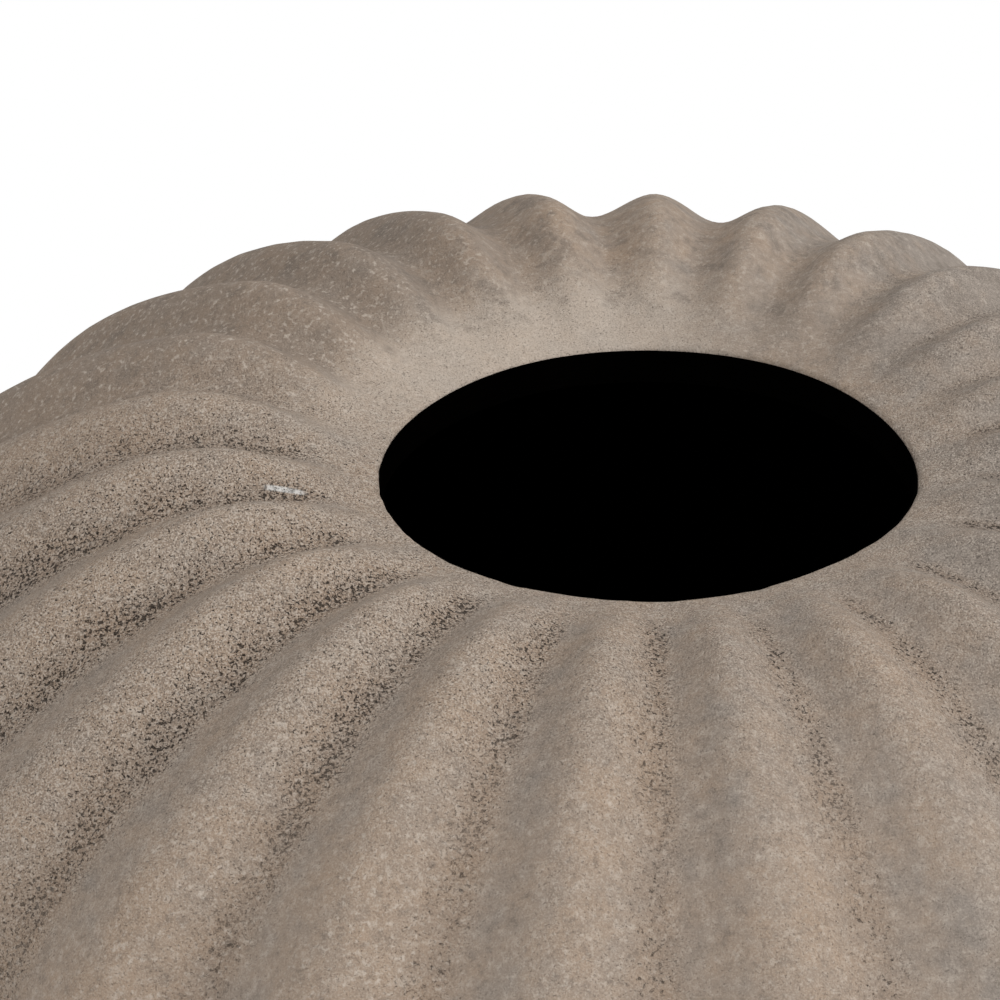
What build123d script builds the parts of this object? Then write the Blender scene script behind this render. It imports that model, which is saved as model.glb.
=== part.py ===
from build123d import *
import os
from math import asin, cos, hypot, pi, radians, sin, sqrt

# A squat ribbed urn vase. Two ribbed halves are pressed in moulds that draw along the axis, joined at
# the widest line with a tongue and a coil of clay, closed below by a slab on a foot ring, and coated
# dark inside. Millimetres, +Z up, standing on z = 0 with the axis at the origin. A heading is an angle
# from the front, -Y, towards the left, -X.

# Turned form, measured along the bottoms of the grooves
BODY_RADIUS = 162.0
SHOULDER_RISE = 85.0
BELLY_HEIGHT = 211.0
FOOT_RADIUS = 82.0

# Round mouth, sunk in a shallow dish
MOUTH_RADIUS = 50.0
DISH_WIDTH = 44.0
DISH_DEPTH = 10.8
LIP_ROUND = 2.0
LIP_STOCK = 10.0

# Ribs, which rise out of the dish and run out above the foot
RIB_COUNT = 24
RIB_HEIGHT = 5.8
RIB_RISE_WIDTH = 28.0
RIB_RUN_OUT = 60.0

# Hand-made unevenness: how far ribs crowd to the back, lean left and pair up at the sides, how much
# later they rise at the back, and how steeply the mouth's plane falls from the right and the front
RIB_CROWD = radians(4.3)
RIB_LEAN = radians(2.1)
RIB_PAIR = radians(1.4)
RIB_LATENESS = 0.3
DIP_RIGHT = 0.032
DIP_FRONT = 0.057
DIP_REACH = 50.0

# Clay wall, measured at a groove, and the dark coat inside it
WALL = 7.5
COAT = 1.0

# Joint between the halves
TONGUE_HEIGHT = 6.0
TONGUE_THICKNESS = 3.8
COIL_DEPTH = 2.5
JOINT_FIT = 0.3

# Slab that closes the base, resting on a ledge
SLAB_THICKNESS = 9.0
SLAB_INSET = 6.0
LEDGE_THICKNESS = 7.0
LEDGE_WIDTH = 12.0
SLAB_CHAMFER = 1.0

# Foot ring, with a spigot in the base opening
FOOT_HEIGHT = 13.0
FOOT_WIDTH = 24.0
FOOT_FLARE = 3.0
FOOT_ROUND = 3.0
SPIGOT_HEIGHT = 4.0

# Felt pads let into the foot ring
PAD_COUNT = 4
PAD_RADIUS = 8.0
PAD_THICKNESS = 3.0
PAD_RECESS = 1.0
PAD_CHAMFER = 0.5

# How finely the ribbed surface follows its form
SHOULDER_RINGS = 14
BELLY_RINGS = 15
RIB_SHARES = (0.0, 0.25, 0.5, 0.75, 1.0)
SMALL_TURN = radians(0.1)

# Levels and radii that follow from the sizes above
FOOT_BOTTOM = PAD_THICKNESS - PAD_RECESS
FOOT_TOP = FOOT_BOTTOM + FOOT_HEIGHT
LEDGE_TOP = FOOT_TOP + LEDGE_THICKNESS
FLOOR_TOP = LEDGE_TOP + SLAB_THICKNESS
WIDEST_Z = FOOT_TOP + BELLY_HEIGHT
SUMMIT_Z = WIDEST_Z + SHOULDER_RISE + RIB_HEIGHT
REACH = BODY_RADIUS + RIB_HEIGHT + WALL
SLAB_RADIUS = FOOT_RADIUS - SLAB_INSET
OPENING_RADIUS = SLAB_RADIUS - LEDGE_WIDTH
FOOT_INNER_RADIUS = FOOT_RADIUS - FOOT_WIDTH
PAD_CIRCLE_RADIUS = FOOT_RADIUS - FOOT_WIDTH / 2
CLAY_BORE_RADIUS = MOUTH_RADIUS + COAT
INNER_RADIUS = BODY_RADIUS - WALL
TONGUE_RADIUS = INNER_RADIUS + TONGUE_THICKNESS
TONGUE_TOP = WIDEST_Z + TONGUE_HEIGHT
RIB_PITCH = 2 * pi / RIB_COUNT
DIP_SLOPE = hypot(DIP_RIGHT, DIP_FRONT)

# The belly is one arc, upright at the widest line and ending at the foot
BELLY_TAPER = BODY_RADIUS - FOOT_RADIUS
BELLY_ARC = (BELLY_TAPER ** 2 + BELLY_HEIGHT ** 2) / (2 * BELLY_TAPER)


def ease(share):
    """Rise smoothly from 0 to 1, level at both ends."""
    share = min(1.0, max(0.0, share))
    return share * share * (3 - 2 * share)


def shoulder_angle(radius):
    """Angle from the axis, on the shoulder's ellipse, at which the shoulder has this radius."""
    return asin(radius / BODY_RADIUS)


def shoulder_station(angle):
    """Point and outward normal on the shoulder's profile, a quarter ellipse with a sunk dish."""
    radius = BODY_RADIUS * sin(angle)
    sunk = max(0.0, (MOUTH_RADIUS + DISH_WIDTH - radius) / DISH_WIDTH)
    height = WIDEST_Z + SHOULDER_RISE * cos(angle) - DISH_DEPTH * sunk ** 2
    run = BODY_RADIUS * cos(angle)
    fall = SHOULDER_RISE * sin(angle) - 2 * DISH_DEPTH * sunk / DISH_WIDTH * run
    length = sqrt(run ** 2 + fall ** 2)
    return Vector(radius, 0, height), Vector(fall / length, 0, run / length)


def belly_station(angle):
    """Point and outward normal on the belly's profile, at an angle below the widest line."""
    normal = Vector(cos(angle), 0, -sin(angle))
    return Vector(BODY_RADIUS - BELLY_ARC, 0, WIDEST_Z) + normal * BELLY_ARC, normal


def even_steps(first, last, count):
    """Values from first to last in so many equal steps."""
    return [first + (last - first) * step / count for step in range(count + 1)]


def shoulder_stations():
    """Stations from spare stock inside the mouth, then from the mouth to the widest line."""
    stock = shoulder_angle(MOUTH_RADIUS - LIP_STOCK)
    mouth = shoulder_angle(MOUTH_RADIUS)
    return [shoulder_station(angle) for angle in [stock] + even_steps(mouth, pi / 2, SHOULDER_RINGS)]


def belly_stations():
    """Stations from just below the widest line to the foot."""
    foot_angle = asin(BELLY_HEIGHT / BELLY_ARC)
    return [belly_station(angle) for angle in even_steps(0.0, foot_angle, BELLY_RINGS)[1:]]


def rib_height(point, heading):
    """Height of a crest over a profile point: it rises from the mouth, narrows and runs out at the foot."""
    rise_width = RIB_RISE_WIDTH * (1 + RIB_LATENESS * (1 - cos(heading)) / 2)
    risen = ease((point.X - MOUTH_RADIUS) / rise_width)
    left = ease((point.Z - FOOT_TOP) / RIB_RUN_OUT)
    narrowed = point.X / BODY_RADIUS if point.Z < WIDEST_Z else 1.0
    return RIB_HEIGHT * risen * left * narrowed


def near_mouth(point):
    """How fully a profile point follows the mouth's dip: 1 at the mouth, 0 past the dip's reach."""
    level = ease((point.Z - WIDEST_Z) / (SHOULDER_RISE / 2))
    return level * ease((MOUTH_RADIUS + DIP_REACH - point.X) / DIP_REACH)


def by_hand(point, heading):
    """Where a profile point stands at a heading, once ribs are uneven and the mouth's plane dips."""
    place = heading + RIB_CROWD * sin(heading) + RIB_LEAN * cos(heading) + RIB_PAIR * cos(2 * heading)
    x = -point.X * sin(place)
    y = -point.X * cos(place)
    dip = DIP_RIGHT * x - DIP_FRONT * y - DIP_SLOPE * point.X
    return Vector(x, y, point.Z + near_mouth(point) * dip)


def along_ring(point, heading):
    """Direction of the ring through a profile point, at a groove."""
    return (by_hand(point, heading + SMALL_TURN) - by_hand(point, heading - SMALL_TURN)).normalized()


def rib_edge(index, point, normal):
    """One rib's edge at a station, from groove to groove, running along the ring at both grooves."""
    points = []
    for share in RIB_SHARES:
        heading = RIB_PITCH * (index + share)
        swell = rib_height(point, heading) * (1 - cos(2 * pi * share)) / 2
        points.append(by_hand(point + normal * swell, heading))
    ends = [along_ring(point, RIB_PITCH * groove) for groove in (index, index + 1)]
    return Spline(*points, tangents=ends).edge()


def ribbed_form():
    """The whole outer form, mouth to foot: a loft through scalloped rings, one face to each rib."""
    rings = []
    for point, normal in shoulder_stations() + belly_stations():
        rings.append(Wire([rib_edge(index, point, normal) for index in range(RIB_COUNT)]))
    return Solid.make_loft(rings)


def drum(radius, bottom, top):
    """A plain cylinder on the axis."""
    return Pos(0, 0, bottom) * Cylinder(radius, top - bottom, align=(Align.CENTER, Align.CENTER, Align.MIN))


def turned(edges):
    """Revolve a closed outline in the XZ plane round the axis."""
    return revolve(make_face(edges), Axis.Z)


def inside_point(point, normal, inset):
    """A profile point drawn in by an inset and lowered by the mean of the mouth's dip."""
    drawn_in = point - normal * inset
    return drawn_in - Vector(0, 0, DIP_SLOPE * drawn_in.X * near_mouth(drawn_in))


def hollow(inset, bore_radius, floor_z, top_z):
    """The space inside the wall: the turned form drawn in by an inset, with the bore of the mouth."""
    wall_points = [inside_point(point, normal, inset) for point, normal in shoulder_stations()]
    ends = ((wall_points[1] - wall_points[0]).normalized(), Vector(0, 0, -1))
    dome = Spline(*wall_points, tangents=ends)
    arc_radius = BELLY_ARC - inset
    arc_centre = Vector(BODY_RADIUS - BELLY_ARC, 0, WIDEST_Z)
    floor_angle = asin((WIDEST_Z - floor_z) / arc_radius)
    middle = arc_centre + Vector(cos(floor_angle / 2), 0, -sin(floor_angle / 2)) * arc_radius
    corner = arc_centre + Vector(cos(floor_angle), 0, -sin(floor_angle)) * arc_radius
    belly = ThreePointArc(dome @ 1, middle, corner)
    top_centre = Vector(0, 0, wall_points[0].Z)
    floor = Polyline(belly @ 1, Vector(0, 0, floor_z), top_centre, dome @ 0)
    return turned([dome, belly, floor]) + drum(bore_radius, WIDEST_Z, top_z)


def joint_groove():
    """The V-shaped ring along the inside of the joint that the coil of clay fills."""
    half_width = COIL_DEPTH + WALL
    apex = Vector(INNER_RADIUS + COIL_DEPTH, 0, TONGUE_TOP)
    lower = apex - Vector(half_width, 0, half_width)
    upper = apex - Vector(half_width, 0, -half_width)
    return turned(Polyline(lower, apex, upper, close=True))


def on_lip(edge, coat_top):
    """True for the edges where the bore of the mouth meets the dish."""
    middle = edge @ 0.5
    on_bore = abs(hypot(middle.X, middle.Y) - CLAY_BORE_RADIUS) < JOINT_FIT
    return on_bore and edge.geom_type != GeomType.LINE and middle.Z > coat_top


def shoulder_half(clay, coat_top):
    """Upper half, rebated to sit over the tongue, with its lip rounded."""
    below = drum(REACH, 0, WIDEST_Z)
    rebate = drum(TONGUE_RADIUS + JOINT_FIT, WIDEST_Z, TONGUE_TOP + JOINT_FIT)
    half = clay - below - rebate - joint_groove()
    lip = [edge for edge in half.edges() if on_lip(edge, coat_top)]
    return fillet(lip, LIP_ROUND)


def belly_half(clay):
    """Lower half, with the tongue above, and the slab's seat and the base opening below."""
    above = drum(REACH, WIDEST_Z, SUMMIT_Z) - drum(TONGUE_RADIUS, WIDEST_Z, TONGUE_TOP)
    seat = drum(SLAB_RADIUS + JOINT_FIT, LEDGE_TOP, FLOOR_TOP)
    opening = drum(OPENING_RADIUS, FOOT_BOTTOM, LEDGE_TOP)
    return clay - above - joint_groove() - seat - opening


def base_slab():
    """Disc that closes the base, with its lower edge eased to drop into its seat."""
    slab = drum(SLAB_RADIUS, LEDGE_TOP, FLOOR_TOP)
    return chamfer(slab.edges().group_by(Axis.Z)[0], SLAB_CHAMFER)


def pad_places():
    """Centres of the felt pads, on the middle of the foot ring."""
    return PolarLocations(PAD_CIRCLE_RADIUS, PAD_COUNT, start_angle=180.0 / PAD_COUNT)


def foot_ring():
    """Flared ring luted under the base, with a spigot inside the opening and seats for the pads."""
    spigot_radius = OPENING_RADIUS - JOINT_FIT
    outline = [
        (FOOT_INNER_RADIUS, FOOT_BOTTOM),
        (FOOT_RADIUS + FOOT_FLARE, FOOT_BOTTOM),
        (FOOT_RADIUS, FOOT_TOP),
        (spigot_radius, FOOT_TOP),
        (spigot_radius, FOOT_TOP + SPIGOT_HEIGHT),
        (FOOT_INNER_RADIUS, FOOT_TOP + SPIGOT_HEIGHT),
    ]
    ring = turned(Polyline(*[Vector(radius, 0, height) for radius, height in outline], close=True))
    ring = fillet(ring.edges().group_by(Axis.Z)[0], FOOT_ROUND)
    for place in pad_places():
        ring -= place * drum(PAD_RADIUS + JOINT_FIT, 0, PAD_THICKNESS)
    return ring


def foot_pad(place):
    """One felt pad, with its lower edge eased."""
    pad = drum(PAD_RADIUS, 0, PAD_THICKNESS)
    return place * chamfer(pad.edges().group_by(Axis.Z)[0], PAD_CHAMFER)


def vase():
    """Every piece of the vase, by name."""
    lip = shoulder_station(shoulder_angle(CLAY_BORE_RADIUS))[0]
    lip_low = lip.Z - 2 * DIP_SLOPE * lip.X * near_mouth(lip)
    coat_top = lip_low - LIP_ROUND
    cavity = hollow(WALL, CLAY_BORE_RADIUS, FLOOR_TOP, SUMMIT_Z)
    clay = ribbed_form() - cavity
    coat_outside = hollow(WALL, CLAY_BORE_RADIUS, FLOOR_TOP, coat_top)
    coat_inside = hollow(WALL + COAT, MOUTH_RADIUS, FLOOR_TOP + COAT, coat_top)
    pieces = {
        "shoulder_half": shoulder_half(clay, coat_top),
        "belly_half": belly_half(clay),
        "seam_coil": clay & joint_groove(),
        "base_slab": base_slab(),
        "foot_ring": foot_ring(),
        "inner_coat": coat_outside - coat_inside,
    }
    for number, place in enumerate(pad_places(), start=1):
        pieces[f"foot_pad_{number}"] = foot_pad(place)
    print(f"lip from {lip_low:.2f} to {lip.Z:.2f}, coat up to {coat_top:.2f}, widest line at {WIDEST_Z:.2f}")
    print(f"belly arc {BELLY_ARC:.1f}")
    return pieces


os.makedirs("parts", exist_ok=True)
for name, solid in vase().items():
    export_step(solid, f"parts/{name}.step")
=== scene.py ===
from math import asin, atan2, cos, hypot, pi, radians, sin, tau
from types import SimpleNamespace

import bmesh
import bpy
from bpy.props import FloatProperty, FloatVectorProperty, IntProperty, PointerProperty
from mathutils import Euler, Matrix, Vector, noise


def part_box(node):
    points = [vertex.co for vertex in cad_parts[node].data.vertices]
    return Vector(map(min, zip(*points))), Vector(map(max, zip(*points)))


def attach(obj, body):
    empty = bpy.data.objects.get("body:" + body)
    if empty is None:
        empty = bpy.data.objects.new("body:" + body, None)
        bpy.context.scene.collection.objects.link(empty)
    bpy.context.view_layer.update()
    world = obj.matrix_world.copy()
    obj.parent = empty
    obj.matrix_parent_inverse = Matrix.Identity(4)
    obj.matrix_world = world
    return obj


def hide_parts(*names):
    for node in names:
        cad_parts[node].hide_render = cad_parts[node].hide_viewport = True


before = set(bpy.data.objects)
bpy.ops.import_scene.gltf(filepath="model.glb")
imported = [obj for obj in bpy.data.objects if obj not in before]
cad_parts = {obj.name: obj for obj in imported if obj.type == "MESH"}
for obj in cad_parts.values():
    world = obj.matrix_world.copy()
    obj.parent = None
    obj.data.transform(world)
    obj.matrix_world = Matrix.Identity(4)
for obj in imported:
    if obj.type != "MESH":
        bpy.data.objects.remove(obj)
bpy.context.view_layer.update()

bl_info = {
    "name": "Ribbed Urn Vase",
    "version": (1, 0, 0),
    "blender": (4, 5, 0),
    "location": "View3D > Sidebar > Vase",
    "description": "Builds a ribbed urn vase of sandy clay on its packed frame, with a white stage",
    "category": "Add Mesh",
}

BODY = "root"
PAD_NODES = ("foot_pad_1", "foot_pad_2", "foot_pad_3", "foot_pad_4")
ORIGIN = Vector((0.0, 0.0, 0.0))
UP = Vector((0.0, 0.0, 1.0))
WHITE = (1.0, 1.0, 1.0, 1.0)
FLOOR_COLOUR = (0.86, 0.86, 0.86, 1.0)
FLOOR_GAP = 0.0001

# Lamps: where they stand and how wide they are, in metres
KEY_PLACE = (1.30, -0.32, 1.25)
KEY_WIDTH = 0.9
FILL_PLACE = (-0.70, -0.85, 1.45)
FILL_WIDTH = 1.2

# How finely the pieces are cut
RIB_STEPS = 20
COAT_STEPS = 8
SHOULDER_RUN = 104
BELLY_RUN = 92
INSIDE_RUN = 30
LIP_SEGMENTS = 5
PAD_SEGMENTS = 56
PAD_EDGE_SEGMENTS = 4
FLOOR_SEGMENTS = 96
MERGE_GAP = 1e-6
SHARP_ANGLE = radians(40.0)

# A vertex lies on the outside if its outward side is longer than this, and chips reach so many lip roundings
OUTSIDE_LENGTH = 0.5
CHIP_REACH = 3

# A pad's edge is rounded by this share of its thickness
PAD_EDGE_SHARE = 0.25

# Widths of the clay's features, in metres, from patches down to the finest sand
PATCHES = 0.030
DRIFTS = 0.014
SMUDGES = 0.007
BLOTCHES = 0.0065
RAGGEDNESS = 0.0065
SWELLS = 0.0035
MOTTLES = 0.0026
FLECKS = 0.0011
LARGE_PITS = 0.00095
SMALL_PITS = 0.00070
SAND = 0.00044
FINE_SAND = 0.00034

# The outlines of pits and sand wander by a reach over a width, and the relief has a depth, in metres
BEND_WIDTH = 0.0009
BEND_REACH = 0.0003
CLAY_RELIEF = 0.0011

# Widths of the features of the other finishes and depths of their relief, in metres
JOINT_PATCHES = 0.012
JOINT_GRAIN = 0.0008
JOINT_RELIEF = 0.0006
COAT_STROKES = 0.010
COAT_THIN_PLACES = 0.022
COAT_RELIEF = 0.0005
FELT_FIBRES = 0.0014
FELT_TUFTS = 0.004
FELT_RELIEF = 0.0006

# Where on a rib the finish sets in and where it ends, in turns from the bottom of the groove
PITS_FROM = (-0.13, 0.03)
PITS_TO = (0.36, 0.05)
SPECKS_FROM = (-0.20, 0.02)
SPECKS_TO = (0.46, 0.08)
# Painted shade: the clay is darkened along the bottom of each groove, where shade falls
GROOVE_SHADE_FROM = (-0.20, -0.03)
GROOVE_SHADE_TO = (0.13, 0.0)
SMOOTH_FROM = (-0.52, -0.24)
SMOOTH_TO = (-0.01, -0.10)

# Where on the vase the finish changes, from nothing to all, in metres along one axis
BELT_FRONT = (-0.120, -0.060)
BELT_BACK = (0.045, -0.005)
NEAR_FRONT = (-0.125, -0.072)
TOP_UP = (0.235, 0.270)
BACKWARDS = (0.015, 0.055)
RIGHT_ACROSS = (0.035, 0.070)
RIGHT_FRONT = (-0.100, -0.050)
RIGHT_BACK = (0.095, 0.050)
SANDY_LEFT = (0.020, -0.045)
# Paler dish behind the mouth at the left: partly paler clay, partly painted light
POWDERY_LIT_BACK = (-0.005, 0.045)
POWDERY_LIT_LEFT = (0.040, -0.005)
GREY_RIGHT = (0.020, 0.080)
WARM_LEFT = (0.0, -0.080)
# Painted shade: the ribs at the back left are darkened in the clay's colour
RIB_SHADE_LEFT = (0.0, -0.050)
RIB_SHADE_BACK = (0.005, 0.045)
# Painted shade: the dish behind the mouth is darkened on its right
DISH_SHADE_RIGHT = (-0.005, 0.030)
DISH_SHADE_BACK = (0.015, 0.045)
FLECKS_LEFT = (0.0, -0.060)
FEW_PITS_BACK = (-0.015, 0.045)

# One chalky scuff beside the mouth; its half length and half width run from faded to full, in metres
SCUFF_PLACE = Vector((-0.0688, -0.0113, 0.2960))
SCUFF_ALONG = Vector((-0.976, -0.030, 0.16)).normalized()
SCUFF_LENGTH = (0.0046, 0.0026)
SCUFF_WIDTH = (0.0008, 0.0002)

# Waves round the mouth that make its outline uneven: how many, how deep in metres, turned by how much
MOUTH_WAVES = (
    (0, 0.00029, radians(180.0)),
    (1, 0.00143, radians(174.0)),
    (2, 0.00078, radians(153.0)),
    (3, 0.00017, radians(180.0)),
    (4, 0.00020, radians(0.0)),
    (5, 0.00024, radians(-10.0)),
    (6, 0.00015, radians(-90.0)),
)


def size(name, description, default):
    """A length that a user may change."""
    return FloatProperty(name=name, description=description, default=default, unit="LENGTH", precision=4)


def turn(name, description, degrees):
    """An angle that a user may change."""
    return FloatProperty(name=name, description=description, default=radians(degrees), subtype="ANGLE")


def power(name, description, watts):
    """A lamp's power that a user may change."""
    return FloatProperty(name=name, description=description, default=watts, unit="POWER")


def share(name, description, default):
    """A plain ratio that a user may change."""
    return FloatProperty(name=name, description=description, default=default, precision=3)


def colour(name, description, default):
    """A linear colour that a user may change."""
    return FloatVectorProperty(name=name, description=description, default=default, subtype="COLOR",
                               size=3, min=0.0, max=1.0)


class VaseForm(bpy.types.PropertyGroup):
    """Sizes of the turned form, measured along the bottoms of the grooves."""

    body_radius: size("Body radius", "Radius at the widest line", 0.162)
    shoulder_rise: size("Shoulder rise", "Height of the shoulder's ellipse over the widest line", 0.085)
    widest_z: size("Widest line", "Height of the widest line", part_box("shoulder_half")[0].z)
    foot_radius: size("Foot radius", "Radius where the belly meets the foot ring", 0.082)
    foot_top: size("Foot top", "Height where the belly meets the foot ring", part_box("belly_half")[0].z)
    mouth_radius: size("Mouth radius", "Radius of the coated mouth", 0.050)
    dish_width: size("Dish width", "Width of the sunk dish round the mouth", 0.044)
    dish_depth: size("Dish depth", "How far the lip lies below the shoulder's ellipse", 0.0108)
    lip_round: size("Lip rounding", "Radius of the rounded lip", 0.0011)
    rib_count: IntProperty(name="Ribs", description="Number of ribs", default=24, min=3)
    rib_height: size("Rib height", "Height of a rib over its grooves", 0.0058)
    rib_rise: size("Rib rise", "Distance from the mouth over which the ribs rise", 0.028)
    rib_run_out: size("Rib run-out", "Height above the foot over which the ribs run out", 0.060)
    wall: size("Wall", "Thickness of the clay at a groove", 0.0075)
    coat: size("Coat", "Thickness of the dark coat inside", 0.001)
    coat_edge: size("Coat edge", "Thickness of the coat where it feathers out below the lip", 0.0003)
    floor_top: size("Floor", "Height of the slab's upper face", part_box("base_slab")[1].z)
    ledge_top: size("Ledge", "Height of the ledge that carries the slab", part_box("base_slab")[0].z)
    slab_seat: size("Slab seat", "Radius of the seat round the slab", 0.0763)
    base_opening: size("Base opening", "Radius of the opening over the foot ring", 0.064)
    tongue_height: size("Tongue height", "Height of the belly's tongue inside the shoulder", 0.006)
    tongue_thickness: size("Tongue thickness", "Thickness of that tongue", 0.0038)
    joint_fit: size("Joint fit", "Play round the tongue", 0.0003)
    coil_depth: size("Coil depth", "Depth of the groove for the seam coil", 0.0025)


class VaseHand(bpy.types.PropertyGroup):
    """How far the hand-made form strays from the turned one."""

    crowd: turn("Crowding", "How far the ribs crowd towards the back", 4.3)
    lean: turn("Lean", "How far the ribs at front and back lean to the left", 2.1)
    pair: turn("Pairing", "How far the ribs crowd at the sides", 1.4)
    dip_right: share("Dip, right", "Fall of the mouth's plane from right to left", 0.032)
    dip_front: share("Dip, front", "Fall of the mouth's plane from front to back", 0.057)
    dip_reach: size("Dip reach", "Distance from the mouth at which the dip has faded", 0.050)
    late_rise: share("Late rise", "How much later the ribs rise at the back", 0.30)
    rib_spread: share("Rib spread", "How much lower the lowest rib is", 0.16)
    lump_depth: size("Lump depth", "Depth of the slow hollows pressed by hand", 0.0006)
    lump_size: size("Lump size", "Width of those hollows", 0.034)
    rough_depth: size("Roughness depth", "Depth of the coarse roughness", 0.00022)
    rough_size: size("Roughness size", "Width of the coarse roughness", 0.0065)
    chip_depth: size("Chip depth", "Depth of the small chips along the lip", 0.0003)
    chip_size: size("Chip size", "Width of those chips", 0.0050)


class VaseFinish(bpy.types.PropertyGroup):
    """Colours of the finishes."""

    tan: colour("Tan", "Warm clay on the crests", (0.390, 0.293, 0.218))
    grey: colour("Grey", "Grey clay on the smoother flanks", (0.302, 0.259, 0.222))
    pale: colour("Pale", "Pale sand grains", (0.590, 0.510, 0.434))
    # Shade: dark sand grains, and also the colour of the painted shade in the grooves, on the back-left ribs
    # and at the back right of the dish
    shade: colour("Shade", "Dark sand grains", (0.170, 0.140, 0.115))
    # Pit: partly the pits' own dark colour, partly painted shade inside them; the dark specks of sand take
    # it too
    pit: colour("Pit", "Bottoms of the pits", (0.020, 0.014, 0.010))
    rust: colour("Rust", "Brown stain round the pits", (0.180, 0.110, 0.066))
    chalk: colour("Chalk", "Chalky scuff", (0.700, 0.680, 0.650))
    # Coat: near-black, partly the coat's own colour, partly painted shade over the inside
    coat: colour("Coat", "Dark coat inside", (0.0007, 0.0006, 0.0005))
    coat_worn: colour("Worn coat", "Thin places in the coat", (0.0014, 0.0012, 0.0010))
    felt: colour("Felt", "Felt pads", (0.105, 0.085, 0.068))
    felt_pale: colour("Pale felt", "Pale fibres of the felt", (0.200, 0.170, 0.140))


class VaseStage(bpy.types.PropertyGroup):
    """Camera, lamps and floor."""

    distance: size("Distance", "From the middle of the mouth to the camera", 0.6634)
    elevation: turn("Elevation", "Height of the camera over the mouth", 31.68)
    heading: turn("Heading", "Camera's place, turned from the front towards the left", 6.9)
    aim_left: turn("Aim left", "How far left of the axis the camera looks", 2.84)
    aim_down: turn("Aim down", "How far below level the camera looks", 32.54)
    roll: turn("Roll", "Camera's turn about its own line of sight", 1.48)
    lens: FloatProperty(name="Lens", description="Focal length in millimetres", default=126.1)
    floor_radius: size("Floor radius", "Radius of the white floor", 6.0)
    shadow_radius: size("Shadow radius", "Distance at which the floor has turned plain white", 0.44)
    sky: share("Sky", "Strength of the even light from all round", 0.44)
    key: power("Key lamp", "Power of the large lamp at the right", 15.6)
    fill: power("Fill lamp", "Power of the lamp at the front left", 7.4)


def ease(value):
    """Rise smoothly from 0 to 1, level at both ends."""
    value = min(1.0, max(0.0, value))
    return value * value * (3 - 2 * value)


def shoulder_station(form, angle, inset=0.0):
    """Point and outward normal on the shoulder, a quarter ellipse with a sunk dish."""
    radius = form.body_radius * sin(angle)
    sunk = max(0.0, (form.mouth_radius + form.dish_width - radius) / form.dish_width)
    height = form.widest_z + form.shoulder_rise * cos(angle) - form.dish_depth * sunk ** 2
    run = form.body_radius * cos(angle)
    fall = form.shoulder_rise * sin(angle) - 2 * form.dish_depth * sunk / form.dish_width * run
    normal = Vector((fall, 0.0, run)).normalized()
    return Vector((radius, 0.0, height)) - normal * inset, normal


def belly_arc(form):
    """Radius of the belly's arc, upright at the widest line and ending at the foot."""
    taper = form.body_radius - form.foot_radius
    return (taper ** 2 + (form.widest_z - form.foot_top) ** 2) / (2 * taper)


def belly_station(form, height, inset=0.0):
    """Point and outward normal on the belly at a height."""
    arc = belly_arc(form) - inset
    angle = asin((form.widest_z - height) / arc)
    normal = Vector((cos(angle), 0.0, -sin(angle)))
    centre = Vector((form.body_radius - belly_arc(form), 0.0, form.widest_z))
    return centre + normal * arc, normal


def steps(first, last, count):
    """Values from first to last in so many equal steps."""
    return [first + (last - first) * step / count for step in range(count + 1)]


def new_section():
    """An empty mesh for a section, with layers for the outward side and for edges to be rounded."""
    bm = bmesh.new()
    bm.verts.layers.float_vector.new("outward")
    bm.verts.layers.int.new("rounded")
    return bm


def add_run(bm, points, outward=None, rounded=0):
    """Carry the section on through some points, and return their vertices."""
    outward_layer = bm.verts.layers.float_vector["outward"]
    rounded_layer = bm.verts.layers.int["rounded"]
    bm.verts.ensure_lookup_table()
    last = bm.verts[-1] if bm.verts else None
    for index, point in enumerate(points):
        vert = bm.verts.new(point)
        vert[outward_layer] = outward[index] if outward else ORIGIN
        vert[rounded_layer] = rounded
        if last:
            bm.edges.new((last, vert))
        last = vert


def close_section(bm):
    """Join the section's last point to its first."""
    bm.verts.ensure_lookup_table()
    bm.edges.new((bm.verts[-1], bm.verts[0]))


def turn_section(bm, form, rib_steps):
    """Spin the section through one rib, then repeat that rib round the axis."""
    pitch = tau / form.rib_count
    bmesh.ops.spin(bm, geom=bm.verts[:] + bm.edges[:], axis=UP, cent=ORIGIN, angle=pitch, steps=rib_steps)
    whole = bm.verts[:] + bm.edges[:] + bm.faces[:]
    bmesh.ops.spin(bm, geom=whole, axis=UP, cent=ORIGIN, angle=tau - pitch, steps=form.rib_count - 1,
                   use_duplicate=True)
    bmesh.ops.remove_doubles(bm, verts=bm.verts[:], dist=MERGE_GAP)
    bmesh.ops.recalc_face_normals(bm, faces=bm.faces[:])


def round_edges(bm, radius, segments):
    """Round the edges whose two ends were both marked in the section."""
    layer = bm.verts.layers.int["rounded"]
    edges = [edge for edge in bm.edges if all(vert[layer] for vert in edge.verts)]
    bmesh.ops.bevel(bm, geom=edges, offset=radius, offset_type="OFFSET", segments=segments, profile=0.5,
                    affect="EDGES", clamp_overlap=True, material=-1)


def rib_height(form, hand, radius, height, heading):
    """Height of a rib's crest at a place, from the mouth over the shoulder and down to the foot."""
    back = (1 - cos(heading)) / 2
    rise = form.rib_rise * (1 + hand.late_rise * back)
    near_mouth = ease((radius - form.mouth_radius) / rise)
    near_foot = ease((height - form.foot_top) / form.rib_run_out)
    narrowed = radius / form.body_radius if height < form.widest_z else 1.0
    return form.rib_height * near_mouth * near_foot * narrowed


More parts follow.
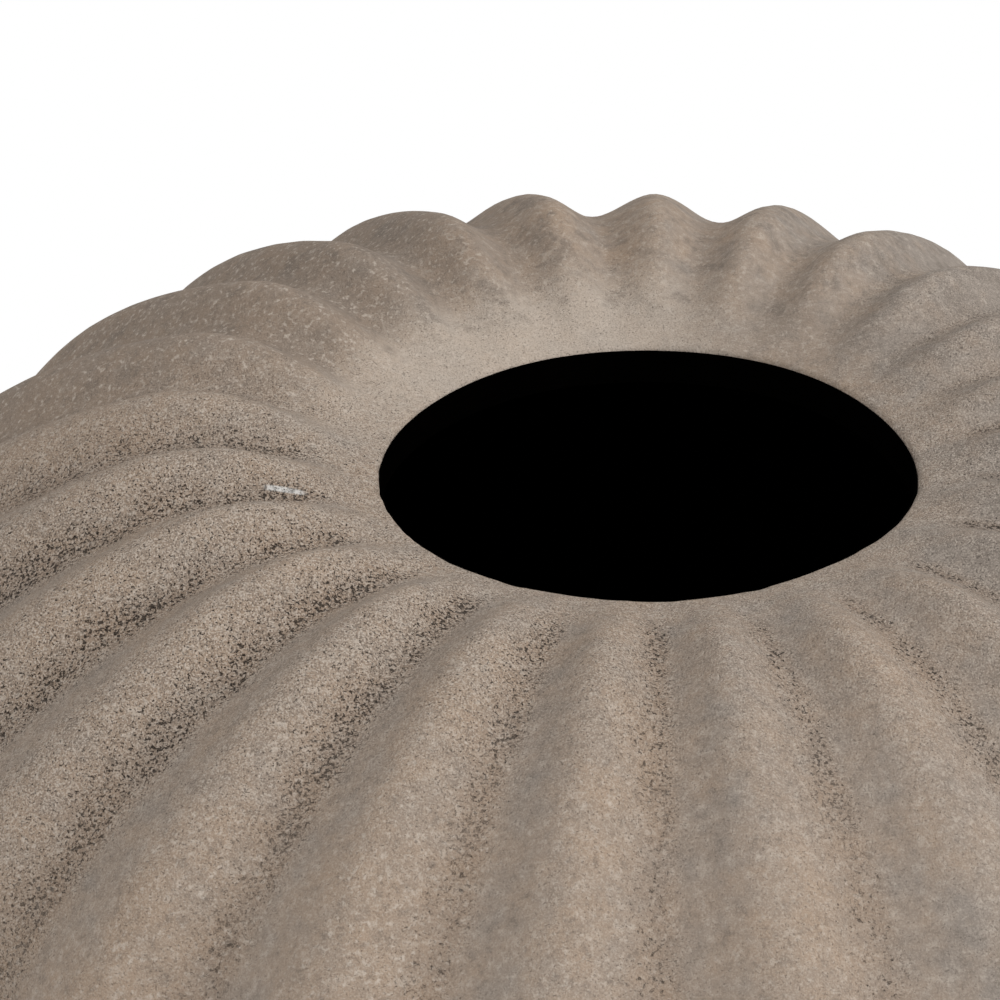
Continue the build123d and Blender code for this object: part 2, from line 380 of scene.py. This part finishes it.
def uneven_mouth(form, hand, point):
    """Where a point near the mouth goes: the mouth's plane dips and its outline is uneven."""
    radius = hypot(point.x, point.y)
    level = ease((point.z - form.widest_z) / (form.shoulder_rise / 2))
    near = level * ease((form.mouth_radius + hand.dip_reach - radius) / hand.dip_reach)
    steepest = hypot(hand.dip_right, hand.dip_front)
    dip = hand.dip_right * point.x - hand.dip_front * point.y - steepest * radius
    heading = atan2(-point.x, -point.y)
    rim = level * ease((form.mouth_radius + form.dish_width / 2 - radius) / (form.dish_width / 2))
    wave = sum(depth * cos(count * heading - phase) for count, depth, phase in MOUTH_WAVES)
    stretch = 1 + rim * wave / max(radius, form.coat)
    return Vector((point.x * stretch, point.y * stretch, point.z + near * dip))


def rib_warp(hand, heading):
    """How far a rib at a heading stands from its even place."""
    return hand.crowd * sin(heading) + hand.lean * cos(heading) + hand.pair * cos(2 * heading)


def hollow_noise(point, width):
    """Slow noise between 0 and 1."""
    return 0.5 + 0.5 * noise.noise(point / width)


def shape_clay(bm, form, hand):
    """Raise the ribs, press the hollows and set the mouth askew, and keep what the finish follows."""
    outward_layer = bm.verts.layers.float_vector["outward"]
    flank_layer = bm.verts.layers.float.new("flank")
    groove_layer = bm.verts.layers.float.new("groove")
    for vert in bm.verts:
        point = vert.co.copy()
        radius = hypot(point.x, point.y)
        heading = atan2(-point.x, -point.y)
        outward = vert[outward_layer]
        height = point.z
        phase = form.rib_count * heading
        if outward.length > OUTSIDE_LENGTH:
            crest = rib_height(form, hand, radius, height, heading)
            spread = 1 - hand.rib_spread * hollow_noise(point, form.mouth_radius)
            lumps = hand.lump_depth * hollow_noise(point, hand.lump_size)
            lumps += hand.rough_depth * hollow_noise(point, hand.rough_size)
            lift = crest * spread * (1 - cos(phase)) / 2 - lumps
            vert[flank_layer] = sin(phase) * crest / form.rib_height
            vert[groove_layer] = cos(phase) * crest / form.rib_height
            radius += outward.x * lift
            height += outward.z * lift
            near_lip = ease(1 - abs(radius - form.mouth_radius) / (CHIP_REACH * form.lip_round))
            chips = max(0.0, noise.noise(point / hand.chip_size)) * hand.chip_depth * near_lip
            radius += chips
            height -= chips
        heading += rib_warp(hand, heading)
        moved = Vector((-radius * sin(heading), -radius * cos(heading), height))
        vert.co = uneven_mouth(form, hand, moved)


def finish_piece(bm, name, material, nodes):
    """Turn a shaped mesh into a piece of the vase that rides on the body and stands for CAD nodes."""
    for edge in bm.edges:
        if len(edge.link_faces) != 2:
            raise RuntimeError(f"{name} has an open edge")
        edge.smooth = edge.calc_face_angle() < SHARP_ANGLE
    for face in bm.faces:
        face.smooth = True
    mesh = bpy.data.meshes.new(name)
    bm.to_mesh(mesh)
    bm.free()
    mesh.materials.append(material)
    piece = bpy.data.objects.new(name, mesh)
    bpy.context.scene.collection.objects.link(piece)
    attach(piece, BODY)
    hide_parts(*nodes)
    return piece


def drop_layers(bm):
    """Remove the layers that only the shaping needed."""
    bm.verts.layers.float_vector.remove(bm.verts.layers.float_vector["outward"])
    bm.verts.layers.int.remove(bm.verts.layers.int["rounded"])


class Value:
    """A value on a surface; arithmetic on numbers adds Math nodes."""

    def __init__(self, recipe, socket):
        self.recipe = recipe
        self.socket = socket

    def maths(self, operation, *terms):
        """Any Math node on some terms."""
        return self.recipe.node("ShaderNodeMath", {"operation": operation}, dict(enumerate(terms)))

    def __add__(self, other):
        return self.maths("ADD", self, other)

    def __radd__(self, other):
        return self.maths("ADD", other, self)

    def __sub__(self, other):
        return self.maths("SUBTRACT", self, other)

    def __rsub__(self, other):
        return self.maths("SUBTRACT", other, self)

    def __mul__(self, other):
        return self.maths("MULTIPLY", self, other)

    def __rmul__(self, other):
        return self.maths("MULTIPLY", other, self)

    def __truediv__(self, other):
        return self.maths("DIVIDE", self, other)

    def __pow__(self, other):
        return self.maths("POWER", self, other)

    def limited(self):
        """The value kept between 0 and 1."""
        return self.recipe.node("ShaderNodeClamp", {}, {"Value": self})

    def band(self, low, high):
        """A smooth rise from 0 at low to 1 at high, which may be the lower."""
        sockets = {"Value": self, "From Min": low, "From Max": high}
        return self.recipe.node("ShaderNodeMapRange", {"interpolation_type": "SMOOTHSTEP"}, sockets)


class Recipe:
    """The node tree of a material or world, filled by name."""

    def __init__(self, owner):
        owner.use_nodes = True
        self.owner = owner
        self.tree = owner.node_tree
        self.tree.nodes.clear()

    def node(self, kind, settings=None, sockets=None, out=0):
        """Add a node: its settings first, then the values or links of its sockets."""
        node = self.tree.nodes.new(kind)
        for key, value in (settings or {}).items():
            setattr(node, key, value)
        for key, value in (sockets or {}).items():
            if isinstance(value, Value):
                self.tree.links.new(value.socket, node.inputs[key])
            else:
                node.inputs[key].default_value = value
        return Value(self, node.outputs[out]) if node.outputs else None

    def place(self):
        """Object coordinates."""
        return self.node("ShaderNodeTexCoord", out="Object")

    def attribute(self, name):
        """A number kept on the mesh."""
        return self.node("ShaderNodeAttribute", {"attribute_name": name}, out="Fac")

    def noise(self, place, width, detail=2.0, roughness=0.5):
        """Noise between 0 and 1 whose features have a width in metres."""
        sockets = {"Vector": place, "Scale": 1 / width, "Detail": detail, "Roughness": roughness}
        return self.node("ShaderNodeTexNoise", {}, sockets)

    def mix(self, factor, first, second):
        """A colour between two colours."""
        settings = {"data_type": "RGBA", "blend_type": "MIX"}
        ends = [end if isinstance(end, Value) else (*end, 1.0) for end in (first, second)]
        return self.node("ShaderNodeMix", settings, {0: factor, 6: ends[0], 7: ends[1]}, 2)

    def vector(self, operation, first, second):
        """Vector Math on two vectors."""
        return self.node("ShaderNodeVectorMath", {"operation": operation}, {0: first, 1: second})

    def part(self, vector, axis):
        """One part of a vector or colour."""
        return self.node("ShaderNodeSeparateXYZ", {}, {"Vector": vector}, axis)

    def strayed(self, place, width, reach):
        """Coordinates that wander by up to a reach, over a width."""
        sockets = {"Vector": place, "Scale": 1 / width, "Detail": 1.0}
        wander = self.node("ShaderNodeTexNoise", {}, sockets, "Color")
        return self.node("ShaderNodeVectorMath", {"operation": "MULTIPLY_ADD"},
                         {0: wander, 1: (reach, reach, reach), 2: place})

    def bump(self, height, depth):
        """A normal from a height between 0 and 1 that stands for a depth in metres."""
        return self.node("ShaderNodeBump", {}, {"Height": height, "Distance": depth})

    def surface(self, sockets):
        """Finish with a Principled shader."""
        return self.output("ShaderNodeOutputMaterial", self.node("ShaderNodeBsdfPrincipled", {}, sockets))

    def output(self, kind, shader):
        """Join a shader to the output, and return what owns the tree."""
        self.node(kind, {}, {"Surface": shader})
        return self.owner


def scuff_mark(recipe, place):
    """1 inside one short scuff beside the mouth."""
    apart = recipe.vector("SUBTRACT", place, tuple(SCUFF_PLACE))
    along = recipe.node("ShaderNodeVectorMath", {"operation": "DOT_PRODUCT"},
                        {0: apart, 1: tuple(SCUFF_ALONG)}, "Value")
    length = recipe.node("ShaderNodeVectorMath", {"operation": "LENGTH"}, {0: apart}, "Value")
    across = (length * length - along * along).band(SCUFF_WIDTH[0] ** 2, SCUFF_WIDTH[1] ** 2)
    return along.maths("ABSOLUTE", along).band(*SCUFF_LENGTH) * across


def rib_bands(recipe, place):
    """Where on a rib a place lies: how far the rib has risen, and ragged bands along groove and flank."""
    flank = recipe.attribute("flank")
    groove = recipe.attribute("groove")
    risen = (flank * flank + groove * groove) ** 0.5
    ragged = recipe.noise(place, RAGGEDNESS, 3.0, 0.65) - 0.5
    turned = flank.maths("ARCTAN2", flank, groove) / tau + 0.14 * ragged
    on_rib = risen.band(0.10, 0.50)
    return SimpleNamespace(
        risen=risen,
        bottom=turned.band(*PITS_FROM) * turned.band(*PITS_TO) * on_rib,
        beside=turned.band(*SPECKS_FROM) * turned.band(*SPECKS_TO) * on_rib,
        # Painted shade along the bottom of each groove
        painted_groove_shade=turned.band(*GROOVE_SHADE_FROM) * turned.band(*GROOVE_SHADE_TO) * on_rib,
        smooth=turned.band(*SMOOTH_FROM) * turned.band(*SMOOTH_TO) * on_rib,
    )


def vase_zones(recipe, place, risen):
    """Where on the vase a place lies: in the gritty belt, on its sandy sides, or behind the mouth, and where
    shade or light is painted into the clay.
    """
    x = recipe.part(place, "X")
    y = recipe.part(place, "Y")
    z = recipe.part(place, "Z")
    belt = y.band(*BELT_FRONT) * y.band(*BELT_BACK)
    top = z.band(*TOP_UP)
    right = x.band(*RIGHT_ACROSS) * y.band(*RIGHT_FRONT) * y.band(*RIGHT_BACK)
    sandy = x.band(*SANDY_LEFT) * belt + 0.75 * right
    # Painted shade on the ribs at the back left
    painted_rib_shade = x.band(*RIB_SHADE_LEFT) * y.band(*RIB_SHADE_BACK) * risen.band(0.3, 0.8)
    # Painted shade on the dish behind the mouth, at its right
    painted_dish_shade = x.band(*DISH_SHADE_RIGHT) * y.band(*DISH_SHADE_BACK) * risen.band(0.9, 0.3)
    return SimpleNamespace(
        near=y.band(*NEAR_FRONT) * y.band(*BELT_BACK),
        sandy=sandy,
        grit=belt.maths("MAXIMUM", belt, sandy),
        back=y.band(*BACKWARDS) * top,
        # Paler dish behind the mouth at the left: partly paler clay, partly painted light
        powdery_and_lit=y.band(*POWDERY_LIT_BACK) * x.band(*POWDERY_LIT_LEFT) * risen.band(0.9, 0.2),
        # Painted shade: darker ribs at the back left, a darker back right of the dish, and a little darker
        # on the right side
        painted_shade=0.42 * painted_rib_shade + 0.08 * right + 0.26 * painted_dish_shade,
        greyer=0.45 * x.band(*GREY_RIGHT) - 0.15 * x.band(*WARM_LEFT),
        flecked=0.50 + 0.32 * x.band(*FLECKS_LEFT),
        unpitted=0.75 * top * y.band(*FEW_PITS_BACK),
    )


def mottled_clay(recipe, place, mottles, rib, zone, finish):
    """Warm and grey clay in patches and mottles, with painted shade in the grooves, on the back-left ribs
    and at the back right of the dish, and paler behind the mouth, partly as painted light.
    """
    patches = recipe.noise(place, PATCHES, 4.0, 0.62)
    blotches = recipe.noise(place, BLOTCHES, 3.0, 0.6)
    greyness = 0.36 + 1.3 * (patches - 0.5) + 1.5 * (blotches - 0.5) + 0.22 * rib.smooth + zone.greyer
    clay = recipe.mix(greyness.limited(), finish.tan, finish.grey)
    clay = recipe.mix(0.60 * mottles.band(0.50, 0.27), clay, finish.shade)
    clay = recipe.mix(0.50 * mottles.band(0.50, 0.73), clay, finish.pale)
    # Painted shade along the groove bottoms, less on the paler dish
    clay = recipe.mix(0.14 * rib.painted_groove_shade * (1 - zone.powdery_and_lit), clay, finish.shade)
    # Paler dish: partly its own paler clay, partly painted light
    clay = recipe.mix(0.52 * zone.powdery_and_lit, clay, finish.pale)
    smudges = recipe.noise(place, SMUDGES, 3.0, 0.7).band(0.50, 0.68) * rib.risen.band(0.08, 0.40)
    clay = recipe.mix(0.48 * smudges * zone.back, clay, finish.shade)
    # Mix in the painted shade
    return recipe.mix(zone.painted_shade, clay, finish.shade)


def sandy_clay(finish):
    """Sandy grey-brown clay: mottled and grainy, pitted along every groove, smooth on one flank."""
    recipe = Recipe(bpy.data.materials.new("pitted_clay"))
    place = recipe.place()
    bent = recipe.strayed(place, BEND_WIDTH, BEND_REACH)
    rib = rib_bands(recipe, place)
    zone = vase_zones(recipe, place, rib.risen)
    mottles = recipe.noise(place, MOTTLES, 4.0, 0.75)
    clay = mottled_clay(recipe, place, mottles, rib, zone, finish)

    # Sand: dark specks and pale grains, sparser on the smooth flank
    sand = recipe.noise(bent, SAND, 1.5, 0.6)
    fine = recipe.noise(bent, FINE_SAND, 1.0, 0.6)
    coarse = (0.45 + 0.55 * zone.grit - 0.17 * zone.back + 0.30 * zone.powdery_and_lit) * (1 - 0.35 * rib.smooth)
    limit = 0.350 + 0.24 * (mottles - 0.5) + 0.008 * zone.sandy + (0.024 + 0.026 * zone.sandy) * rib.beside
    specks = (limit - sand).band(0.0, 0.05)
    clay = recipe.mix((0.50 + 0.24 * zone.sandy) * fine.band(0.49, 0.31) * coarse, clay, finish.shade)
    clay = recipe.mix((0.58 + 0.24 * zone.sandy) * fine.band(0.51, 0.66) * coarse, clay, finish.pale)
    clay = recipe.mix((0.50 + 0.45 * zone.sandy) * specks * coarse, clay, finish.pit)

    # Pale flecks, then pits: ragged bands along the grooves, fewer at the back of the top, and sandy drifts;
    # the pits' near-black is partly their own dark colour, partly painted shade inside them
    flecks = recipe.noise(bent, FLECKS, 2.0, 0.6).band(0.52, 0.78) * (1 - 0.6 * rib.smooth)
    clay = recipe.mix(zone.flecked * flecks, clay, finish.pale)
    drifts = recipe.noise(place, DRIFTS, 3.0, 0.6).band(0.36, 0.64)
    gathered = rib.bottom * (0.78 + 0.22 * drifts) * (1 - zone.unpitted)
    density = gathered + 0.30 * zone.sandy * drifts
    large = (0.29 + 0.17 * density - recipe.noise(bent, LARGE_PITS, 2.5, 0.65)).band(0.0, 0.26)
    small = (0.28 + 0.17 * density - recipe.noise(bent, SMALL_PITS, 2.0, 0.6)).band(0.0, 0.10)
    pits = large + zone.near * (small - large)
    clay = recipe.mix(0.16 * density.band(0.2, 1.0), clay, finish.rust)
    # Dark pits: partly their own colour, partly painted shade inside the pits
    clay = recipe.mix((0.66 + 0.20 * zone.near) * pits, clay, finish.pit)

    # The one scuff, then the relief of sand, pits and a slow swell
    chalk = scuff_mark(recipe, place) * fine.band(0.25, 0.45)
    clay = recipe.mix(0.95 * chalk, clay, finish.chalk)
    swell = recipe.noise(place, SWELLS, 2.0, 0.5)
    relief = 0.55 + (0.35 * (sand - 0.5) + 0.20 * (fine - 0.5) + 0.35 * (swell - 0.5)) * coarse
    relief = relief - 0.55 * pits - 0.20 * specks * coarse
    return recipe.surface({
        "Base Color": clay,
        "Roughness": (0.90 + 0.10 * (mottles - 0.5)).limited(),
        "Specular IOR Level": 0.2,
        "Normal": recipe.bump(relief, CLAY_RELIEF),
    })


def joint_clay(finish):
    """Smoothed bare clay of the seam coil."""
    recipe = Recipe(bpy.data.materials.new("smoothed_clay"))
    place = recipe.place()
    patches = recipe.noise(place, JOINT_PATCHES, 3.0, 0.6)
    grain = recipe.noise(place, JOINT_GRAIN, 2.0, 0.6)
    clay = recipe.mix(patches.band(0.3, 0.7), finish.tan, finish.grey)
    clay = recipe.mix(0.5 * grain.band(0.5, 0.25), clay, finish.shade)
    return recipe.surface({
        "Base Color": clay,
        "Roughness": 0.8 + 0.1 * patches,
        "Specular IOR Level": 0.25,
        "Normal": recipe.bump(0.6 * grain + 0.4 * patches, JOINT_RELIEF),
    })


def dark_coat_and_shade(finish):
    """Matt black sealing coat, brushed on and a little thin in places; its near-black is partly painted
    shade inside the vase.
    """
    recipe = Recipe(bpy.data.materials.new("black_coat_and_shade"))
    place = recipe.place()
    strokes = recipe.noise(recipe.vector("MULTIPLY", place, (1.0, 1.0, 6.0)), COAT_STROKES, 3.0, 0.6)
    thin = recipe.noise(place, COAT_THIN_PLACES, 4.0, 0.65)
    return recipe.surface({
        "Base Color": recipe.mix(thin.band(0.5, 0.8), finish.coat, finish.coat_worn),
        "Roughness": 0.86 + 0.12 * strokes,
        "Specular IOR Level": 0.0,
        "Normal": recipe.bump(0.7 * strokes + 0.3 * thin, COAT_RELIEF),
    })


def felt(finish):
    """Pressed felt: short fibres lying every way."""
    recipe = Recipe(bpy.data.materials.new("pressed_felt"))
    place = recipe.place()
    fibres = recipe.noise(recipe.vector("MULTIPLY", place, (3.0, 1.0, 1.0)), FELT_FIBRES, 4.0, 0.8)
    crossing = recipe.noise(recipe.vector("MULTIPLY", place, (1.0, 3.0, 1.0)), FELT_FIBRES, 4.0, 0.8)
    tufts = recipe.noise(place, FELT_TUFTS, 2.0, 0.5)
    pile = (fibres.maths("MAXIMUM", fibres, crossing) + 0.3 * (tufts - 0.5)).limited()
    return recipe.surface({
        "Base Color": recipe.mix(pile.band(0.5, 0.8), finish.felt, finish.felt_pale),
        "Roughness": 0.95 - 0.05 * tufts,
        "Specular IOR Level": 0.1,
        "Sheen Weight": 0.3,
        "Normal": recipe.bump(pile, FELT_RELIEF),
    })


class VASE_OT_shoulder(bpy.types.Operator):
    """Make the ribbed shoulder with its sunk dish and rounded lip"""

    bl_idname = "vase.make_shoulder"
    bl_label = "Make the shoulder"

    def execute(self, context):
        form = context.scene.vase_form
        hand = context.scene.vase_hand
        bore = form.mouth_radius + form.coat_edge
        inner = form.body_radius - form.wall
        tongue = inner + form.tongue_thickness + form.joint_fit
        tongue_top = form.widest_z + form.tongue_height
        apex = inner + form.coil_depth
        bm = new_section()
        lip, lip_normal = shoulder_station(form, asin(bore / form.body_radius))
        start = asin((bore + 2 * form.lip_round) / form.body_radius)
        outside = [shoulder_station(form, angle) for angle in steps(pi / 2, start, SHOULDER_RUN)]
        add_run(bm, [point for point, normal in outside], [normal for point, normal in outside])
        add_run(bm, [lip], [lip_normal], rounded=1)
        inside = steps(asin((bore - form.wall) / form.body_radius), pi / 2, INSIDE_RUN)
        inside = [shoulder_station(form, angle, form.wall)[0] for angle in inside]
        coil_top = tongue_top + form.coil_depth
        dome = [point for point in inside if point.x > bore and point.z > coil_top]
        add_run(bm, [Vector((bore, 0.0, dome[0].z))] + dome)
        add_run(bm, [
            Vector((inner, 0.0, coil_top)),
            Vector((apex - form.joint_fit, 0.0, tongue_top + form.joint_fit)),
            Vector((tongue, 0.0, tongue_top + form.joint_fit)),
            Vector((tongue, 0.0, form.widest_z)),
        ])
        close_section(bm)
        turn_section(bm, form, RIB_STEPS)
        round_edges(bm, form.lip_round, LIP_SEGMENTS)
        shape_clay(bm, form, hand)
        drop_layers(bm)
        finish_piece(bm, "shoulder", bpy.data.materials["pitted_clay"], ["shoulder_half"])
        return {"FINISHED"}


class VASE_OT_belly(bpy.types.Operator):
    """Make the ribbed belly with its tongue, the slab's seat and the base opening"""

    bl_idname = "vase.make_belly"
    bl_label = "Make the belly"

    def execute(self, context):
        form = context.scene.vase_form
        hand = context.scene.vase_hand
        inner = form.body_radius - form.wall
        tongue = inner + form.tongue_thickness
        tongue_top = form.widest_z + form.tongue_height
        bm = new_section()
        outside = [belly_station(form, height) for height in steps(form.widest_z, form.foot_top, BELLY_RUN)]
        add_run(bm, [point for point, normal in outside], [normal for point, normal in outside])
        add_run(bm, [
            Vector((form.base_opening, 0.0, form.foot_top)),
            Vector((form.base_opening, 0.0, form.ledge_top)),
            Vector((form.slab_seat, 0.0, form.ledge_top)),
            Vector((form.slab_seat, 0.0, form.floor_top)),
        ])
        inside = steps(form.floor_top, form.widest_z, INSIDE_RUN)
        add_run(bm, [belly_station(form, height, form.wall)[0] for height in inside])
        add_run(bm, [
            Vector((inner, 0.0, tongue_top - form.coil_depth)),
            Vector((inner + form.coil_depth, 0.0, tongue_top)),
            Vector((tongue, 0.0, tongue_top)),
            Vector((tongue, 0.0, form.widest_z)),
        ])
        close_section(bm)
        turn_section(bm, form, RIB_STEPS)
        shape_clay(bm, form, hand)
        drop_layers(bm)
        finish_piece(bm, "belly", bpy.data.materials["pitted_clay"], ["belly_half"])
        return {"FINISHED"}


class VASE_OT_coat(bpy.types.Operator):
    """Make the dark coat over the whole inside, up to the lip"""

    bl_idname = "vase.make_coat"
    bl_label = "Make the inner coat"

    def layer(self, form, inset, bore, floor):
        """Points of the coat's section at an inset, from the top of the bore to the floor's middle."""
        lip = shoulder_station(form, asin((form.mouth_radius + form.coat_edge) / form.body_radius))[0].z
        angles = steps(asin((form.mouth_radius - form.wall) / form.body_radius), pi / 2, INSIDE_RUN)
        dome = [shoulder_station(form, angle, inset)[0] for angle in angles]
        dome = [point for point in dome if point.x > bore]
        heights = steps(form.widest_z, floor, INSIDE_RUN)[1:]
        belly = [belly_station(form, height, inset)[0] for height in heights]
        top = [Vector((bore, 0.0, lip - form.lip_round)), Vector((bore, 0.0, dome[0].z))]
        return top + dome + belly + [Vector((0.0, 0.0, floor))]

    def execute(self, context):
        form = context.scene.vase_form
        hand = context.scene.vase_hand
        bm = new_section()
        outer = self.layer(form, form.wall, form.mouth_radius + form.coat_edge, form.floor_top)
        inner = self.layer(form, form.wall + form.coat, form.mouth_radius, form.floor_top + form.coat)
        add_run(bm, list(reversed(outer)) + inner)
        turn_section(bm, form, COAT_STEPS)
        for vert in bm.verts:
            vert.co = uneven_mouth(form, hand, vert.co)
        drop_layers(bm)
        # The coat's near-black is partly painted shade inside the vase
        finish_piece(bm, "coat", bpy.data.materials["black_coat_and_shade"], ["inner_coat"])
        return {"FINISHED"}


class VASE_OT_pads(bpy.types.Operator):
    """Make the four felt pads let into the foot ring"""

    bl_idname = "vase.make_pads"
    bl_label = "Make the felt pads"

    def execute(self, context):
        for number, node in enumerate(PAD_NODES, start=1):
            low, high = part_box(node)
            centre = (low + high) / 2
            radius = (high.x - low.x) / 2
            thickness = high.z - low.z
            bm = bmesh.new()
            bmesh.ops.create_circle(bm, cap_ends=True, segments=PAD_SEGMENTS, radius=radius)
            grown = bmesh.ops.extrude_face_region(bm, geom=bm.faces[:])
            raised = [item for item in grown["geom"] if isinstance(item, bmesh.types.BMVert)]
            bmesh.ops.translate(bm, verts=raised, vec=UP * thickness)
            bmesh.ops.bevel(bm, geom=bm.edges[:], offset=PAD_EDGE_SHARE * thickness, offset_type="OFFSET",
                            segments=PAD_EDGE_SEGMENTS, profile=0.5, affect="EDGES", clamp_overlap=True,
                            material=-1)
            bmesh.ops.recalc_face_normals(bm, faces=bm.faces[:])
            bmesh.ops.translate(bm, verts=bm.verts[:], vec=Vector((centre.x, centre.y, low.z)))
            pad = finish_piece(bm, f"felt_pad_{number}", bpy.data.materials["pressed_felt"], [node])
        return {"FINISHED"}


class VASE_OT_finishes(bpy.types.Operator):
    """Mix the finishes, and put them on the CAD nodes that stay in sight"""

    bl_idname = "vase.mix_finishes"
    bl_label = "Mix the finishes"

    def execute(self, context):
        finish = context.scene.vase_finish
        clay = sandy_clay(finish)
        joint = joint_clay(finish)
        dark_coat_and_shade(finish)
        felt(finish)
        for node, material in (("base_slab", clay), ("foot_ring", clay), ("seam_coil", joint)):
            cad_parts[node].material_slots[0].material = material
        return {"FINISHED"}


def add_lamp(name, place, target, width, watts):
    """A large soft lamp that faces a target."""
    lamp = bpy.data.lights.new(name, "AREA")
    lamp.shape = "DISK"
    lamp.size = width
    lamp.energy = watts
    holder = bpy.data.objects.new(name, lamp)
    bpy.context.scene.collection.objects.link(holder)
    holder.location = place
    holder.rotation_euler = (Vector(target) - Vector(place)).to_track_quat("-Z", "Y").to_euler()


def seen_directly(recipe):
    """1 for rays from the camera, straight or by way of gloss or glass."""
    straight = recipe.node("ShaderNodeLightPath", out="Is Camera Ray")
    gloss = recipe.node("ShaderNodeLightPath", out="Is Glossy Ray")
    glass = recipe.node("ShaderNodeLightPath", out="Is Transmission Ray")
    return straight.maths("MAXIMUM", straight, gloss.maths("MAXIMUM", gloss, glass))


def white_floor(stage):
    """White floor that keeps the vase's shadow and turns plain white further off."""
    recipe = Recipe(bpy.data.materials.new("white_floor"))
    place = recipe.place()
    apart = recipe.node("ShaderNodeVectorMath", {"operation": "LENGTH"}, {0: place}, "Value")
    away = apart.band(stage.shadow_radius / 2, stage.shadow_radius)
    matt = recipe.node("ShaderNodeBsdfDiffuse", {}, {"Color": FLOOR_COLOUR})
    plain = recipe.node("ShaderNodeEmission", {}, {"Color": WHITE, "Strength": 1.0})
    mixed = recipe.node("ShaderNodeMixShader", {}, {0: away * seen_directly(recipe), 1: matt, 2: plain})
    return recipe.output("ShaderNodeOutputMaterial", mixed)


def even_light(stage):
    """Even light from all round, plain white where it is seen."""
    recipe = Recipe(bpy.data.worlds.new("even_light"))
    strength = stage.sky + (1 - stage.sky) * seen_directly(recipe)
    light = recipe.node("ShaderNodeBackground", {}, {"Color": WHITE, "Strength": strength})
    return recipe.output("ShaderNodeOutputWorld", light)


class VASE_OT_stage(bpy.types.Operator):
    """Set the white floor, the soft light and the camera"""

    bl_idname = "vase.set_stage"
    bl_label = "Set the stage"

    def execute(self, context):
        scene = context.scene
        stage = scene.vase_stage
        form = scene.vase_form
        scene.view_settings.view_transform = "Standard"

        bm = bmesh.new()
        bmesh.ops.create_circle(bm, cap_ends=True, segments=FLOOR_SEGMENTS, radius=stage.floor_radius)
        bmesh.ops.translate(bm, verts=bm.verts[:], vec=-UP * FLOOR_GAP)
        mesh = bpy.data.meshes.new("floor")
        bm.to_mesh(mesh)
        bm.free()
        mesh.materials.append(white_floor(stage))
        floor = bpy.data.objects.new("floor", mesh)
        scene.collection.objects.link(floor)

        scene.world = even_light(stage)
        mouth = shoulder_station(form, asin(form.mouth_radius / form.body_radius))[0].z
        middle = Vector((0.0, 0.0, mouth))
        add_lamp("key_lamp", KEY_PLACE, middle, KEY_WIDTH, stage.key)
        add_lamp("fill_lamp", FILL_PLACE, middle, FILL_WIDTH, stage.fill)

        level_reach = stage.distance * cos(stage.elevation)
        place = Vector((
            -level_reach * sin(stage.heading),
            -level_reach * cos(stage.heading),
            mouth + stage.distance * sin(stage.elevation),
        ))
        aim = Euler((pi / 2 - stage.aim_down, 0.0, stage.aim_left - stage.heading))
        data = bpy.data.cameras.new("camera")
        data.lens = stage.lens
        camera = bpy.data.objects.new("camera", data)
        scene.collection.objects.link(camera)
        turned = aim.to_matrix().to_4x4() @ Matrix.Rotation(stage.roll, 4, "Z")
        camera.matrix_world = Matrix.Translation(place) @ turned
        scene.camera = camera
        return {"FINISHED"}


class VASE_PT_panel(bpy.types.Panel):
    """The vase's pieces and stage"""

    bl_label = "Ribbed urn vase"
    bl_idname = "VASE_PT_panel"
    bl_space_type = "VIEW_3D"
    bl_region_type = "UI"
    bl_category = "Vase"

    def draw(self, context):
        for operator in OPERATORS:
            self.layout.operator(operator.bl_idname)
        for group in GROUPS:
            settings = getattr(context.scene, group)
            box = self.layout.box()
            for name in settings.__annotations__:
                box.prop(settings, name)


GROUPS = {"vase_form": VaseForm, "vase_hand": VaseHand, "vase_finish": VaseFinish, "vase_stage": VaseStage}
OPERATORS = (VASE_OT_finishes, VASE_OT_shoulder, VASE_OT_belly, VASE_OT_coat, VASE_OT_pads, VASE_OT_stage)


def register():
    """Register the settings, operators and panel."""
    for name, group in GROUPS.items():
        bpy.utils.register_class(group)
        setattr(bpy.types.Scene, name, PointerProperty(type=group))
    for operator in OPERATORS:
        bpy.utils.register_class(operator)
    bpy.utils.register_class(VASE_PT_panel)


def unregister():
    """Undo register."""
    bpy.utils.unregister_class(VASE_PT_panel)
    for operator in reversed(OPERATORS):
        bpy.utils.unregister_class(operator)
    for name, group in GROUPS.items():
        delattr(bpy.types.Scene, name)
        bpy.utils.unregister_class(group)


def main():
    """Build the vase and its stage."""
    register()
    bpy.ops.vase.mix_finishes()
    bpy.ops.vase.make_shoulder()
    bpy.ops.vase.make_belly()
    bpy.ops.vase.make_coat()
    bpy.ops.vase.make_pads()
    bpy.ops.vase.set_stage()


if __name__ == "__main__":
    main()
